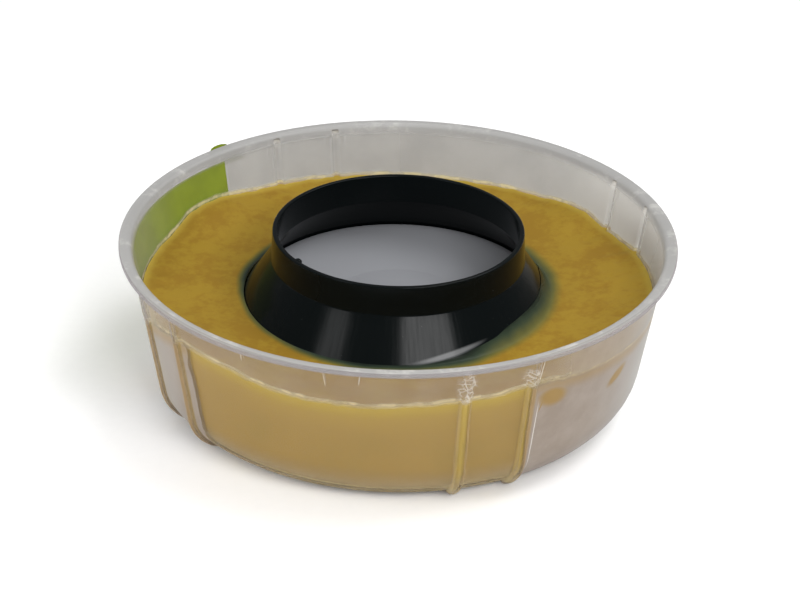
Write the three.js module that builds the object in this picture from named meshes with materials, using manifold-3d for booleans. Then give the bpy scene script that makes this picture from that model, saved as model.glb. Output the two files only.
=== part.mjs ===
// Toilet pan seal: a wax ring with a plastic horn, cast in the thin ribbed tub that it is sold in.
// Millimetres, +Z up. The origin is the middle of the tub's base, and the horn points up.

import * as THREE from 'three';
import { mergeVertices } from 'three/addons/utils/BufferGeometryUtils.js';
import Module from 'manifold-3d';

// Facets
const turnSegments = 64;
const cornerSteps = 6;
const smallSteps = 2;
const fluteSteps = 4;
const fluteSides = 3;
const weldDistance = 1e-4;

// Tub
const tubHeight = 45.6;
const wall = 0.8;
const rimRadius = 75;
const rimWidth = 3;
const rimDrop = 1.2;
const rimEdgeRound = 0.35;
const rimInnerRound = 1.4;
const bandHeight = 2.1;
const bandStep = 0.8;
const bandSlope = 0.4;
const wallDraft = 9.4;
const cornerRadius = 14;

// Hollow post in the middle of the tub, which forms the bore of the wax
const platformHeight = 29.1;
const landWidth = 1.4;
const dishRadius = 18.5;
const dishDepth = 3.6;
const shoulderHeight = 3.5;
const postDraft = 4;
const postFootRound = 2;

// Flutes pressed outward in the wall, in pairs, each with a foot that wraps the bottom corner
const pairAngles = [24.7, 112.8, 210, 291.6];
const pairSpread = 14.6;
const fluteRadius = 1.6;
const fluteProud = 1.2;
const fluteFootAngle = 60;
const fluteFootShare = 0.96;
const grooveTopWall = 0.8;

// Horn, which seats on the post's shoulder: flange, cone and a short sleeve
const sleeveLength = 8.2;
const sleeveTopRadius = 33.9;
const sleeveFootRadius = 34.3;
const sleeveLipRound = 0.4;
const hornWall = 1.3;
const coneHeight = 12.6;
const coneAngle = 34.5;
const flangeWidth = 3.8;
const nubAngle = 216.5;
const nubRadius = 0.55;
const nubRise = 0.35;

// Wax, lowest at the horn, with a small meniscus at the wall
const flangeCover = 1.9;
const waxRise = 1.7;
const waxMidShare = 0.3;
const meniscusWidth = 1.4;
const meniscusRise = 0.8;

// Label, wrapped on the outside of the straight wall
const labelFrom = 134.5;
const labelTo = 183;
const labelMarginBelow = 1.5;
const labelMarginAbove = 1.1;
const labelThickness = 0.2;

// Clearances between pieces that touch on the real object
const castGap = 0.3;
const seatGap = 0.3;
const labelGap = 0.3;

// Worked-out sizes
const rad = THREE.MathUtils.degToRad;
const draftRun = Math.tan(rad(wallDraft));
const draftCos = Math.cos(rad(wallDraft));
const coneRun = Math.tan(rad(coneAngle));
const coneCos = Math.cos(rad(coneAngle));
const postRun = Math.tan(rad(postDraft));
const postCos = Math.cos(rad(postDraft));
const bandRadius = rimRadius - rimWidth;
const bandFootZ = tubHeight - bandHeight;
const wallTopRadius = bandRadius + wall - bandStep;
const flangeBottomZ = platformHeight - shoulderHeight;
const flangeTopZ = flangeBottomZ + hornWall;
const sleeveFootZ = flangeTopZ + coneHeight;
const hornHeight = sleeveFootZ + sleeveLength;
const flangeRadius = hornOuterAt(flangeTopZ) + flangeWidth;
const postTopRadius = hornInnerAt(platformHeight) - seatGap / coneCos;
const shoulderRadius = hornInnerAt(flangeBottomZ) - seatGap / coneCos;
const dishZ = platformHeight - dishDepth;
const waxDishZ = flangeTopZ + flangeCover;
const waxRimZ = waxDishZ + waxRise;
const waxEdgeZ = waxRimZ + meniscusRise;
const grooveRadius = fluteRadius - wall;
const fluteDepth = fluteRadius - fluteProud;

// Outer face of the tapered wall at a height
function outerWallAt(z) {
  return wallTopRadius - (bandFootZ - z) * draftRun;
}

// Inner face of the tapered wall at a height
function innerWallAt(z) {
  return outerWallAt(z) - wall / draftCos;
}

// Face of the post that the wax is cast against, below its shoulder
function postSideAt(z) {
  return shoulderRadius + (flangeBottomZ - z) * postRun;
}

// Outer face of the horn's cone at a height
function hornOuterAt(z) {
  return sleeveFootRadius + (sleeveFootZ - z) * coneRun;
}

// Inner face of the horn's cone, carried on down to the underside of its flange
function hornInnerAt(z) {
  return hornOuterAt(z) - hornWall / coneCos;
}

const wasm = await Module();
wasm.setup();

// Closed solid from a three.js geometry, with its faces turned outward
function solid(geometry) {
  const bare = geometry.clone();
  bare.deleteAttribute('normal');
  bare.deleteAttribute('uv');
  const merged = mergeVertices(bare, weldDistance);
  const position = merged.getAttribute('position');
  const index = merged.getIndex().array;
  const corner = [new THREE.Vector3(), new THREE.Vector3(), new THREE.Vector3()];
  const triangles = [];
  let volume = 0;
  for (let i = 0; i < index.length; i += 3) {
    const [a, b, c] = [index[i], index[i + 1], index[i + 2]];
    if (a === b || b === c || c === a) continue;
    triangles.push([a, b, c]);
    corner.forEach((point, k) => point.fromBufferAttribute(position, [a, b, c][k]));
    volume += corner[0].dot(corner[1].clone().cross(corner[2]));
  }
  if (volume < 0) triangles.forEach((triangle) => triangle.reverse());
  return new wasm.Manifold(new wasm.Mesh({
    numProp: 3,
    vertProperties: new Float32Array(position.array),
    triVerts: new Uint32Array(triangles.flat()),
  }));
}

function mesh(name, body, color, roughness) {
  const data = body.getMesh();
  const geometry = new THREE.BufferGeometry();
  geometry.setAttribute('position', new THREE.BufferAttribute(new Float32Array(data.vertProperties), 3));
  geometry.setIndex(new THREE.BufferAttribute(new Uint32Array(data.triVerts), 1));
  geometry.computeVertexNormals();
  const material = new THREE.MeshStandardMaterial({ color, roughness, metalness: 0 });
  const result = new THREE.Mesh(geometry, material);
  result.name = name;
  return result;
}

// Profile through [radius, height, round] corners, each round becoming an arc that meets both sides
function profile(corners) {
  const points = [];
  corners.forEach(([r, z, round], i) => {
    const here = new THREE.Vector2(r, z);
    if (!round) {
      points.push(here);
      return;
    }
    const before = new THREE.Vector2(corners[i - 1][0], corners[i - 1][1]).sub(here).normalize();
    const after = new THREE.Vector2(corners[i + 1][0], corners[i + 1][1]).sub(here).normalize();
    const half = Math.acos(before.dot(after)) / 2;
    const reach = round / Math.tan(half);
    const centre = before.clone().add(after).normalize().multiplyScalar(round / Math.sin(half)).add(here);
    const start = before.clone().multiplyScalar(reach).add(here).sub(centre);
    const end = after.clone().multiplyScalar(reach).add(here).sub(centre);
    const turn = Math.atan2(start.cross(end), start.dot(end));
    const count = Math.max(smallSteps, Math.round(cornerSteps * round / cornerRadius));
    for (let k = 0; k <= count; k += 1) {
      points.push(start.clone().rotateAround(new THREE.Vector2(), turn * k / count).add(centre));
    }
  });
  return points;
}

function revolve(points) {
  const geometry = new THREE.LatheGeometry(points, turnSegments);
  geometry.rotateX(Math.PI / 2);
  return solid(geometry);
}

function revolveClosed(points) {
  return revolve([...points, points[0]]);
}

// Line down the wall and round the tub's bottom corner, a set depth inside the outer face.
// It is sampled evenly in t, with its straight part as the first step and the arc as the others.
class WallLine extends THREE.Curve {
  constructor(topZ, depth) {
    super();
    this.bend = cornerRadius - depth;
    this.centreRadius = outerWallAt(cornerRadius) - cornerRadius / draftCos;
    this.top = new THREE.Vector3(outerWallAt(topZ) - depth / draftCos, 0, topZ);
    this.steps = 1 + fluteSteps;
  }

  getUtoTmapping(u) {
    return u;
  }

  getPoint(t, target = new THREE.Vector3()) {
    const done = Math.max(t * this.steps - 1, 0) / fluteSteps;
    const angle = rad(wallDraft + done * (fluteFootAngle - wallDraft));
    target.set(
      this.centreRadius + this.bend * Math.cos(angle),
      0,
      cornerRadius - this.bend * Math.sin(angle),
    );
    return target.lerp(this.top, Math.max(1 - t * this.steps, 0));
  }
}

// Half-round bar down the wall and round the corner, with straight sides reaching inward and a round foot
function fluteBar(radius, inward, topZ) {
  const section = new THREE.Shape();
  section.moveTo(radius, inward);
  section.lineTo(-radius, inward);
  section.lineTo(-radius, 0);
  section.absarc(0, 0, radius, Math.PI, 2 * Math.PI, false);
  section.closePath();
  const extrudePath = new WallLine(topZ, fluteDepth);
  const bar = new THREE.ExtrudeGeometry(section, {
    steps: extrudePath.steps,
    curveSegments: fluteSides,
    extrudePath,
    bevelEnabled: false,
  });
  const foot = new THREE.SphereGeometry(radius * fluteFootShare, 3 * fluteSides, 2 * fluteSides);
  foot.translate(...extrudePath.getPoint(1).toArray());
  return solid(bar).add(solid(foot));
}

function atFlutes(body) {
  const copies = pairAngles.flatMap((angle) => [angle - pairSpread / 2, angle + pairSpread / 2])
    .map((angle) => body.rotate([0, 0, angle]));
  return copies.reduce((all, copy) => all.add(copy));
}

// Tub: the outer form with its flutes, less the cavity and the grooves behind the flutes
function makeTub() {
  const outer = revolve(profile([
    [0, dishZ - wall],
    [dishRadius, dishZ - wall],
    [postTopRadius - landWidth, platformHeight - wall],
    [postTopRadius - wall, platformHeight - wall],
    [shoulderRadius - wall / postCos, flangeBottomZ],
    [postSideAt(0) - wall / postCos, 0, wall],
    [outerWallAt(0), 0, cornerRadius],
    [wallTopRadius, bandFootZ - wall],
    [bandRadius + wall, bandFootZ - bandSlope],
    [bandRadius + wall, tubHeight - wall],
    [rimRadius - wall, tubHeight - wall],
    [rimRadius - wall, tubHeight - rimDrop],
    [rimRadius, tubHeight - rimDrop],
    [rimRadius, tubHeight, rimEdgeRound],
    [0, tubHeight],
  ]));
  const cavity = revolve(profile([
    [0, dishZ],
    [dishRadius, dishZ],
    [postTopRadius - landWidth, platformHeight],
    [postTopRadius, platformHeight],
    [shoulderRadius, flangeBottomZ],
    [postSideAt(wall), wall, postFootRound],
    [innerWallAt(wall), wall, cornerRadius - wall],
    [innerWallAt(bandFootZ), bandFootZ],
    [bandRadius, tubHeight, rimInnerRound],
    [bandRadius + rimInnerRound, tubHeight],
    [bandRadius + rimInnerRound, tubHeight + wall],
    [0, tubHeight + wall],
  ]));
  const flutes = atFlutes(fluteBar(fluteRadius, wall, tubHeight - wall / 2));
  const grooves = atFlutes(fluteBar(grooveRadius, 2 * wall, tubHeight - wall - grooveTopWall));
  return outer.add(flutes).subtract(cavity).subtract(grooves);
}

// Wax: cast between the post and the wall, round the horn's flange and into the grooves
function makeWax() {
  const baseZ = wall + castGap;
  const underFlangeZ = flangeBottomZ - castGap;
  const overFlangeZ = flangeTopZ + castGap;
  const wallFace = (z) => innerWallAt(z) - castGap / draftCos;
  const postFace = (z) => postSideAt(z) + castGap / postCos;
  const coneFace = (z) => hornOuterAt(z) + castGap / coneCos;
  const ring = revolveClosed(profile([
    [postFace(underFlangeZ), underFlangeZ],
    [postFace(baseZ), baseZ, postFootRound - castGap],
    [wallFace(baseZ), baseZ, cornerRadius - wall - castGap],
    [wallFace(waxEdgeZ), waxEdgeZ],
    [wallFace(waxEdgeZ) - meniscusWidth / 3, waxRimZ + meniscusRise / 3],
    [wallFace(waxEdgeZ) - meniscusWidth, waxRimZ],
    [(coneFace(waxDishZ) + wallFace(waxRimZ)) / 2, waxDishZ + waxRise * waxMidShare],
    [coneFace(waxDishZ), waxDishZ],
    [coneFace(overFlangeZ), overFlangeZ],
    [flangeRadius + castGap, overFlangeZ],
    [flangeRadius + castGap, underFlangeZ],
  ]));
  const keys = atFlutes(fluteBar(grooveRadius - castGap, 2 * wall + castGap, waxRimZ));
  return ring.add(keys);
}

// Horn: short sleeve, cone and the flange that the wax holds, with the gate's nub left on the lip
function makeHorn() {
  const lipInner = sleeveTopRadius - hornWall;
  const body = revolveClosed(profile([
    [lipInner, hornHeight - sleeveLipRound],
    [sleeveFootRadius - hornWall, sleeveFootZ],
    [hornInnerAt(flangeBottomZ), flangeBottomZ],
    [flangeRadius, flangeBottomZ],
    [flangeRadius, flangeTopZ],
    [hornOuterAt(flangeTopZ), flangeTopZ],
    [sleeveFootRadius, sleeveFootZ],
    [sleeveTopRadius, hornHeight, sleeveLipRound],
    [lipInner + sleeveLipRound, hornHeight],
  ]));
  const nub = new THREE.SphereGeometry(nubRadius, 2 * fluteSides, 2 * fluteSides);
  const nubPlace = new THREE.Vector3(sleeveTopRadius - hornWall / 2, 0, hornHeight + nubRise - nubRadius);
  nubPlace.applyAxisAngle(new THREE.Vector3(0, 0, 1), rad(nubAngle));
  nub.rotateX(Math.PI / 2);
  nub.translate(...nubPlace.toArray());
  return body.add(solid(nub));
}

// Label: a strip of the cone just outside the wall, cut to its width by a wedge
function makeLabel() {
  const bottomZ = cornerRadius + labelMarginBelow;
  const topZ = bandFootZ - labelMarginAbove;
  const face = (z, out) => outerWallAt(z) + (labelGap + out) / draftCos;
  const band = revolveClosed(profile([
    [face(bottomZ, 0), bottomZ],
    [face(topZ, 0), topZ],
    [face(topZ, labelThickness), topZ],
    [face(bottomZ, labelThickness), bottomZ],
  ]));
  const wedgeReach = 2 * rimRadius;
  const sector = new THREE.Shape();
  sector.moveTo(0, 0);
  sector.lineTo(wedgeReach * Math.cos(rad(labelFrom)), wedgeReach * Math.sin(rad(labelFrom)));
  sector.absarc(0, 0, wedgeReach, rad(labelFrom), rad(labelTo), false);
  sector.closePath();
  const wedge = new THREE.ExtrudeGeometry(sector, {
    depth: tubHeight,
    curveSegments: 1,
    bevelEnabled: false,
  });
  return band.intersect(solid(wedge));
}

const seal = new THREE.Group();
seal.add(mesh('tub', makeTub(), 0xd6d4cf, 0.35));
seal.add(mesh('wax_ring', makeWax(), 0xb48a3c, 0.5));
seal.add(mesh('horn', makeHorn(), 0x0c1011, 0.3));
seal.add(mesh('label', makeLabel(), 0x8aa03a, 0.6));

export default seal;
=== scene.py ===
import math

import bmesh
import bpy
from mathutils import Matrix, Vector, noise


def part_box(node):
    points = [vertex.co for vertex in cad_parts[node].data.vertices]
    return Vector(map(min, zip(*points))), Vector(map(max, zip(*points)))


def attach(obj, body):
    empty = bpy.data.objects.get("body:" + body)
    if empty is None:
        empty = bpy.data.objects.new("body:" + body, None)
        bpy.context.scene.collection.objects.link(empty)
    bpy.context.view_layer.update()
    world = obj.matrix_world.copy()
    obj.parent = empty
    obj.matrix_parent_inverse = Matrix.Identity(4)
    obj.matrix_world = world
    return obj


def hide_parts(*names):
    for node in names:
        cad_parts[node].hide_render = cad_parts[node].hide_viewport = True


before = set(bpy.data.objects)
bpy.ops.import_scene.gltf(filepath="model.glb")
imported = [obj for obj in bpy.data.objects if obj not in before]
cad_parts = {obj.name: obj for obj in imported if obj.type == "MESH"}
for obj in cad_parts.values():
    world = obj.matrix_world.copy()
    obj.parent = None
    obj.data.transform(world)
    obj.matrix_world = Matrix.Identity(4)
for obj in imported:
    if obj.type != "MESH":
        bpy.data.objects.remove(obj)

bl_info = {
    "name": "Toilet pan seal",
    "version": (1, 0, 0),
    "blender": (4, 5, 0),
    "location": "3D View > Sidebar > Seal",
    "description": "A wax toilet pan seal with its horn, in the tub that it is cast in",
    "category": "Add Mesh",
}

MM = 0.001
TUB_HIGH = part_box("tub")[1]

# How finely arcs and turns are divided
ARC_STEP = math.radians(7.5)
LEAST_ARC_STEPS = 3
WAX_TURN = math.radians(1.0)
TUB_TURN = math.radians(2.5)
FLUTE_TURN = math.radians(0.25)
HORN_STEPS = 256
# How far to each side of a flute the close steps go, in radii of the flute
FLUTE_REACH = 1.8
# Points that lie closer than this are merged
WELD = 0.01 * MM
# Edges sharper than this aren't shaded smooth
SHARP = math.radians(40)
WAX_SHARP = math.radians(60)

# Clearance between the post and the horn that sits on it
POST_GAP = 0.3 * MM
# How far out from the horn the wax's top is drawn up to it
HORN_REACH = 7 * MM
# How far in from the wall the wax's top follows its edge
WALL_REACH = 20 * MM

# In the tables, angles are in degrees from the front, the side that the camera sees, and grow to the right.
# Height of the wax's edge on the wall, in millimetres
WAX_EDGE = (
    (-180, 30.4), (-155, 31.0), (-146, 31.2), (-136, 32.5), (-126, 33.3), (-118, 32.3), (-108, 30.9),
    (-85, 31.2), (-60, 34.2), (-47, 36.0), (-31, 34.4), (-20, 33.1), (-9, 32.9), (1, 33.4), (11, 34.1),
    (22, 34.5), (29, 35.3), (37, 34.4), (60, 32.6), (93, 31.5), (107, 31.0), (121, 30.1), (131, 31.7),
    (143, 30.7), (154, 30.4), (165, 30.1), (180, 30.4),
)
# How much of the wall the wax touches, from 0 where it has come away to 1 where it clings
WAX_TOUCH = (
    (-180, 0.55), (-140, 0.8), (-110, 0.55), (-80, 0.35), (-55, 0.2), (-50.5, 0.1), (-48, 1.0), (-20, 1.0),
    (10, 1.0), (27.8, 1.0), (30.4, 0.0), (60, 0.0), (85, 0.1), (110, 0.6), (150, 0.75), (180, 0.55),
)
# How far the wax has crept up the horn's cone, in millimetres above its dish
WAX_CREEP = (
    (-180, 0.0), (-60, 0.0), (0, 0.2), (25, 1.6), (40, 2.8), (65, 4.4), (90, 4.4), (108, 1.6),
    (130, 0.0), (180, 0.0),
)
# Radius, in millimetres, at which the wax turns from dark to amber over the black flange
HALO = (
    (-180, 43.4), (-110, 43.4), (-90, 42.6), (-60, 41.8), (-35, 42.4), (-10, 43.6), (15, 43.6), (35, 42.0),
    (60, 41.0), (85, 41.4), (110, 43.0), (180, 43.4),
)
# Painted shade on the flange: its brightness round the axis, as a share of its colour
RIM_PAINTED_SHADE = (
    (-180, 0.94), (-110, 0.88), (-75, 0.92), (-40, 0.91), (20, 0.9), (60, 0.88), (100, 0.82), (180, 0.94),
)

# Oval marks on the wall: angle, height, half width and half height in millimetres, and lean in degrees
CRACKLES = ((14.4, 39.0, 2.6, 5.0, 0), (28.4, 38.4, 2.6, 2.9, 0))
# The long line at 31 degrees, 18.4 mm high, is a painted highlight along a flute's right flank; the others
# are white scratches.
SCRATCHES_AND_HIGHLIGHT = (
    (-32.6, 42.1, 0.14, 1.7, 0), (-14.3, 41.0, 0.11, 2.6, 6), (-7.2, 41.4, 0.11, 1.5, -6),
    (30.8, 39.7, 0.14, 4.1, -7), (31.0, 18.4, 0.16, 10.3, -1),
)
SPOTS = ((34.7, 30.0, 4.3, 2.8, -10), (55.9, 25.9, 4.0, 1.7, 24), (31.9, 28.2, 0.2, 1.9, -15))
# Painted highlight along the edge of the wax film at the foot of the horn's cone
FILM_HIGHLIGHT = ((20.5, 30.5, 8.2, 0.55, 7.0),)


def length(name, description, millimetres):
    """A size in metres, given in millimetres."""
    return bpy.props.FloatProperty(
        name=name, description=description, default=millimetres * MM, min=0.0, precision=5, unit="LENGTH"
    )


def turn(name, description, degrees):
    """An angle in radians, given in degrees."""
    return bpy.props.FloatProperty(
        name=name, description=description, default=math.radians(degrees), subtype="ANGLE"
    )


def power(name, description, watts):
    """The strength of a light."""
    return bpy.props.FloatProperty(name=name, description=description, default=watts, min=0.0)


def colour(name, description, *red_green_blue):
    """A linear colour."""
    return bpy.props.FloatVectorProperty(
        name=name, description=description, default=red_green_blue, size=3, min=0.0, max=1.0, subtype="COLOR"
    )


class TubSizes(bpy.types.PropertyGroup):
    """Sizes of the tub."""

    height: length("Height", "Height of the tub over its flange", TUB_HIGH.z / MM)
    rim_radius: length("Rim radius", "Radius of the flange's outer edge", TUB_HIGH.x / MM)
    wall: length("Wall", "Thickness of the plastic", 0.8)
    rim_width: length("Rim width", "Width of the flat flange", 3.0)
    rim_drop: length("Rim drop", "Depth of the lip turned down round the flange", 1.2)
    rim_round: length("Rim round", "Round on the flange's outer edge", 0.35)
    rim_inner: length("Rim inner round", "Round between the flange's top and the wall", 1.4)
    band_height: length("Band height", "Depth of the upright band under the flange", 2.1)
    band_step: length("Band step", "Step in from the band to the tapered wall", 0.8)
    band_slope: length("Band slope", "Height of the sloped step", 0.4)
    draft: turn("Draft", "Taper of the wall", 9.4)
    corner: length("Corner radius", "Outside radius of the bottom corner", 14.0)
    platform: length("Platform height", "Height of the post's flat top", 29.1)
    land: length("Land width", "Width of the flat ring round the dish", 1.4)
    dish_radius: length("Dish radius", "Radius of the dish's flat floor", 18.5)
    dish_depth: length("Dish depth", "Depth of the dish in the post's top", 3.6)
    shoulder: length("Shoulder height", "Height of the cone that the horn sits on", 3.5)
    post_draft: turn("Post draft", "Taper of the post's side", 4.0)
    post_foot: length("Post foot round", "Round where the post meets the floor", 2.0)
    flute: length("Flute radius", "Radius of each half-round flute", 1.6)
    flute_proud: length("Flute height", "How far a flute stands out of the wall", 1.2)
    flute_foot: turn("Flute foot", "How far round the bottom corner a flute runs", 60)
    pair_spread: turn("Pair spread", "Angle between the two flutes of a pair", 14.6)
    pairs: bpy.props.FloatVectorProperty(
        name="Pairs",
        description="Angle of the middle of each pair of flutes, from +X",
        default=[math.radians(angle) for angle in (24.7, 112.8, 210.0, 291.6)],
        size=4,
        subtype="EULER",
    )


class WaxSizes(bpy.types.PropertyGroup):
    """Sizes of the wax ring."""

    gap: length("Gap", "Clearance to the plastic round the wax", 0.12)
    cover: length("Flange cover", "Wax over the horn's flange", 1.9)
    rise: length("Rise", "How much higher the wax lies near the wall than at the horn", 1.7)
    meniscus: length("Meniscus", "Width of the wax drawn up at the wall", 0.7)
    bead: length("Bead", "Height of the wax drawn up at the wall", 0.2)
    ripple: length("Ripple", "Unevenness of the wax's top", 0.16)
    film: length("Film", "Thickness of the wax crept up the cone", 0.35)


class HornSizes(bpy.types.PropertyGroup):
    """Sizes of the horn."""

    height: length("Height", "Height of the sleeve's lip over the floor", 47.7)
    sleeve: length("Sleeve length", "Length of the sleeve above the cone", 8.2)
    top_radius: length("Lip radius", "Outer radius of the sleeve's lip", 33.9)
    foot_radius: length("Crease radius", "Outer radius where the sleeve meets the cone", 34.3)
    lip_round: length("Lip round", "Round on the lip", 0.4)
    wall: length("Wall", "Thickness of the horn", 1.3)
    cone: turn("Cone angle", "Angle of the cone from the axis", 34.5)
    flange: length("Flange width", "Width of the flange held in the wax", 3.8)
    nub: length("Nub radius", "Radius of the nub left by the mould's gate", 0.95)
    nub_place: turn("Nub place", "Angle of the nub from +X", 216.5)


class LabelSizes(bpy.types.PropertyGroup):
    """Sizes of the bare label."""

    start: turn("Start", "Angle of the label's upright edge at the back, from +X", 134.5)
    stop: turn("Stop", "Angle of the label's other edge, from +X", 183.0)
    bottom: length("Bottom", "Height of the lower edge", 15.5)
    top: length("Top", "Height of the upper edge", 42.4)
    thickness: length("Thickness", "Thickness of the label's film", 0.12)
    gap: length("Gap", "Layer of glue between the label and the wall", 0.05)
    corner_start: turn("Corner start", "Angle where the lifted corner begins, from +X", 128.8)
    corner_stop: turn("Corner stop", "Angle where the lifted corner ends, from +X", 138.4)
    corner_reach: length("Corner reach", "Radius that the lifted corner reaches", 76.2)


class Finishes(bpy.types.PropertyGroup):
    """Colours of the materials."""

    plastic: colour("Plastic", "Milky plastic of the tub's wall", 0.37, 0.362, 0.345)
    # Painted light: the plastic of the tub's front is tinted by painted amber light bounced from the wax.
    plastic_in_wax_light: colour("Warm plastic", "Milky plastic of the tub's front", 0.272, 0.222, 0.184)
    soaked: colour("Soaked plastic", "Plastic that the wax clings to", 0.43, 0.315, 0.18)
    stain: colour("Stain", "Wax that clings in spots to the wall that it has left", 0.30, 0.19, 0.062)
    # Painted shade: this dark line round the foot of the wall stands in for the contact shadow there.
    foot: colour("Foot", "Dark line round the foot of the wall, where wax clings", 0.16, 0.085, 0.045)
    # Besides the real wax film, this colour paints light on the wall towards its foot where the wax clings,
    # as if bounced up from the floor.
    film: colour("Wax film", "Thin film of wax left on the wall", 0.66, 0.57, 0.30)
    rim: colour("Rim", "Milky plastic of the flange", 0.36, 0.355, 0.345)
    # Painted shade: the lip's darker violet grey stands in for the shade under the flange.
    lip: colour("Lip", "Plastic of the lip turned down round the flange", 0.24, 0.218, 0.225)
    # Painted shade: the post's top is darker and bluish, for the shadowed hollow under it seen through the
    # plastic.
    post: colour("Post", "Milky plastic of the post's top", 0.235, 0.24, 0.255)
    lit_plastic: colour("Lit plastic", "Plastic of the right side, lit from outside", 0.74, 0.73, 0.70)
    # Besides real white cracks, scratches and milky clouds, this colour paints light on the tops of the
    # grooves and a highlight along a flute's flank.
    mark: colour("Mark", "White cracks and scratches in the plastic", 0.72, 0.70, 0.66)
    wax: colour("Wax", "Amber wax", 0.272, 0.172, 0.020)
    wax_deep: colour("Deep wax", "Browner patches in the wax", 0.236, 0.136, 0.016)
    # Painted light: the wax is painted lighter near the wall, at the top of the ring's side and in the
    # flutes, as if lit through the milky wall.
    wax_lit_at_wall: colour("Bright wax", "Thin bright wax at the wall", 0.40, 0.30, 0.05)
    wax_side: colour("Side wax", "Wax of the ring's side, seen through the wall", 0.272, 0.178, 0.052)
    wax_green: colour("Green wax", "Thin wax over the black flange", 0.030, 0.044, 0.027)
    wax_olive: colour("Olive wax", "Wax a little thicker over the black flange", 0.115, 0.105, 0.025)
    horn: colour("Horn", "Black plastic of the horn", 0.0022, 0.0034, 0.0036)
    # Besides real dust, this colour paints the highlight at the edge of the wax film on the cone.
    dust: colour("Dust", "Dust on the horn, and the light edge of its wax film", 0.13, 0.135, 0.14)
    label: colour("Label", "Green film of the bare label", 0.21, 0.275, 0.010)
    floor: colour("Floor", "Pale paper floor", 0.93, 0.93, 0.93)


class StageSizes(bpy.types.PropertyGroup):
    """Camera and lights."""

    elevation: turn("Elevation", "Angle of the camera above the floor", 28.529)
    roll: turn("Roll", "Turn of the camera about its own axis", 0.993)
    distance: length("Distance", "Distance from the camera to its target", 704.0)
    target: bpy.props.FloatVectorProperty(
        name="Target",
        description="Point that the camera looks at",
        default=(0.75 * MM, 0.0, 23.624 * MM),
        size=3,
        subtype="TRANSLATION",
    )
    lens: bpy.props.FloatProperty(
        name="Lens", description="Focal length in millimetres", default=115.95, min=10.0, unit="CAMERA"
    )
    world: power("World", "Strength of the even light", 0.8)
    top_light: power("Top light", "Power of the soft light above", 4.2)
    strip_light: power("Strip light", "Power of the wide strip at the front right", 2.3)
    side_light: power("Side light", "Power of the narrow strip at the front left", 0.42)
    fill_light: power("Fill light", "Power of the low fill at the left", 5.0)


class Form:
    """Sizes worked out from the driving ones, in metres."""

    def __init__(self, scene):
        self.tub = scene.seal_tub
        self.wax = scene.seal_wax
        self.horn = scene.seal_horn
        self.label = scene.seal_label
        tub, horn = self.tub, self.horn
        self.band_radius = tub.rim_radius - tub.rim_width
        self.band_foot = tub.height - tub.band_height
        self.wall_top = self.band_radius + tub.wall - tub.band_step
        self.draft_run = math.tan(tub.draft)
        self.draft_cos = math.cos(tub.draft)
        self.cone_run = math.tan(horn.cone)
        self.cone_cos = math.cos(horn.cone)
        self.flange_bottom = tub.platform - tub.shoulder
        self.flange_top = self.flange_bottom + horn.wall
        self.sleeve_foot = horn.height - horn.sleeve
        self.flange_radius = self.cone_outer(self.flange_top) + horn.flange
        self.dish = tub.platform - tub.dish_depth
        self.corner_centre = self.wall_outer(tub.corner) - tub.corner / self.draft_cos
        self.post_top = self.cone_inner(tub.platform) - POST_GAP / self.cone_cos
        self.shoulder_radius = self.cone_inner(self.flange_bottom) - POST_GAP / self.cone_cos
        self.wax_dish = self.flange_top + self.wax.cover
        self.wax_rim = self.wax_dish + self.wax.rise
        self.wax_edge = self.wax_rim + self.wax.bead
        self.flutes = sorted(
            middle + side * tub.pair_spread / 2 for middle in tub.pairs for side in (-1, 1)
        )

    def wall_outer(self, z):
        """Radius of the tapered wall's outer face at a height."""
        return self.wall_top - (self.band_foot - z) * self.draft_run

    def wall_inner(self, z):
        """Radius of the tapered wall's inner face at a height."""
        return self.wall_outer(z) - self.tub.wall / self.draft_cos

    def post_side(self, z):
        """Radius of the post's face that the wax is cast against."""
        return self.shoulder_radius + (self.flange_bottom - z) * math.tan(self.tub.post_draft)

    def cone_outer(self, z):
        """Radius of the horn's cone, outside, at a height."""
        return self.horn.foot_radius + (self.sleeve_foot - z) * self.cone_run

    def cone_inner(self, z):
        """Radius of the horn's cone, inside, at a height."""
        return self.cone_outer(z) - self.horn.wall / self.cone_cos

    def cone_height(self, radius):
        """Height of the cone's outer face at a radius."""
        return self.sleeve_foot - (radius - self.horn.foot_radius) / self.cone_run

    def wax_at_wall(self, z):
        """Radius of the wax's face at the wall."""
        return self.wall_inner(z) - self.wax.gap / self.draft_cos

    def wax_at_post(self, z):
        """Radius of the wax's face at the post."""
        return self.post_side(z) + self.wax.gap / math.cos(self.tub.post_draft)

    def wax_at_cone(self, z):
        """Radius of the wax's face at the cone."""
        return self.cone_outer(z) + self.wax.gap / self.cone_cos

    def label_at_wall(self, z):
        """Radius of the label's face at the wall."""
        return self.wall_outer(z) + self.label.gap / self.draft_cos

    def wall_place(self, radius, z):
        """Depth under the wall's outer face, distance past the flutes' feet, and the face's normal."""
        tub = self.tub
        out, up = radius - self.corner_centre, z - tub.corner
        lean = max(math.atan2(-up, out), tub.draft)
        normal = Vector((math.cos(lean), 0, -math.sin(lean)))
        depth = tub.corner - (out * normal.x + up * normal.z)
        return depth, (lean - tub.flute_foot) * tub.corner, normal

    def across_flute(self, radius, angle):
        """Distance round the wall to the middle of the nearest flute."""
        offsets = [(angle - flute + math.pi) % math.tau - math.pi for flute in self.flutes]
        return radius * min(offsets, key=abs)


def smooth(value, low, high):
    """0 below low, 1 above high and a smooth step between them."""
    share = min(max((value - low) / (high - low), 0.0), 1.0)
    return share * share * (3 - 2 * share)


def soft_max(a, b, width):
    """The larger of two values, rounded over where they meet."""
    share = max(width - abs(a - b), 0.0) / width
    return max(a, b) + share * share * width / 4


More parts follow.
